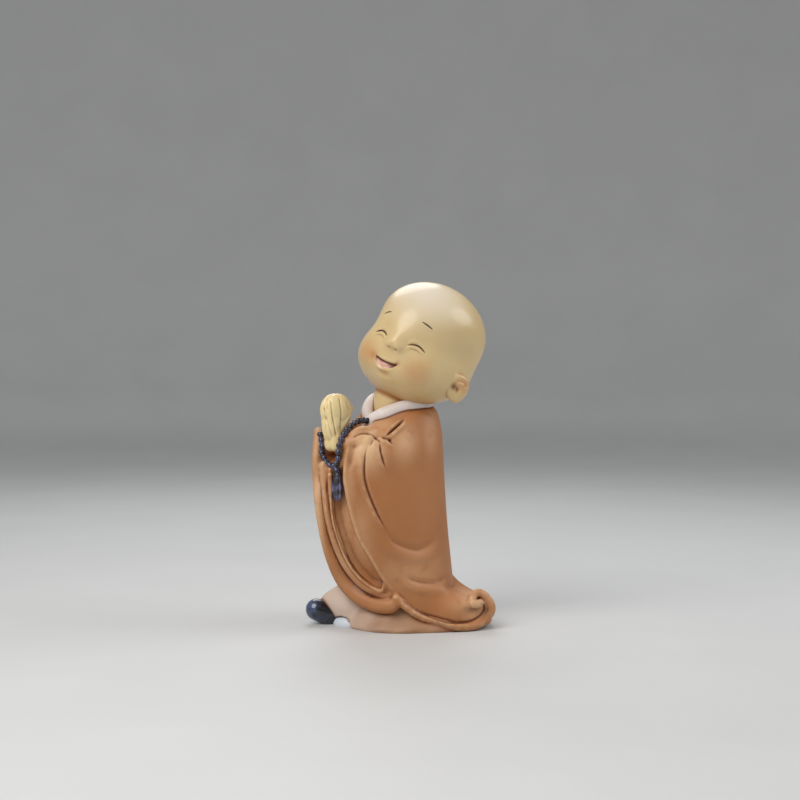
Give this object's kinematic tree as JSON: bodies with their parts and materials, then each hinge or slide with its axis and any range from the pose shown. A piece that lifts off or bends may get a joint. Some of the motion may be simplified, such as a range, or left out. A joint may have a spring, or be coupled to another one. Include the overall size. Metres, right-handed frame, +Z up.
{
  "type": "baby monk statue",
  "caption": "Small cast figurine of a smiling baby monk in a draped robe, palms pressed together with a loop of prayer beads, standing on its own base.",
  "frame": {"origin": "centre of the bounding box at the underside that stands on the table", "axes": "+Z up towards the crown, the figure's chest and praying hands face -Y, its left side is +X"},
  "size_m": [0.045, 0.0518, 0.1],
  "materials": {
    "painted_resin": "hand-painted cast polyresin, satin"
  },
  "bodies": {
    "root": {"monk_figure": "painted_resin"}
  },
  "joints": []
}
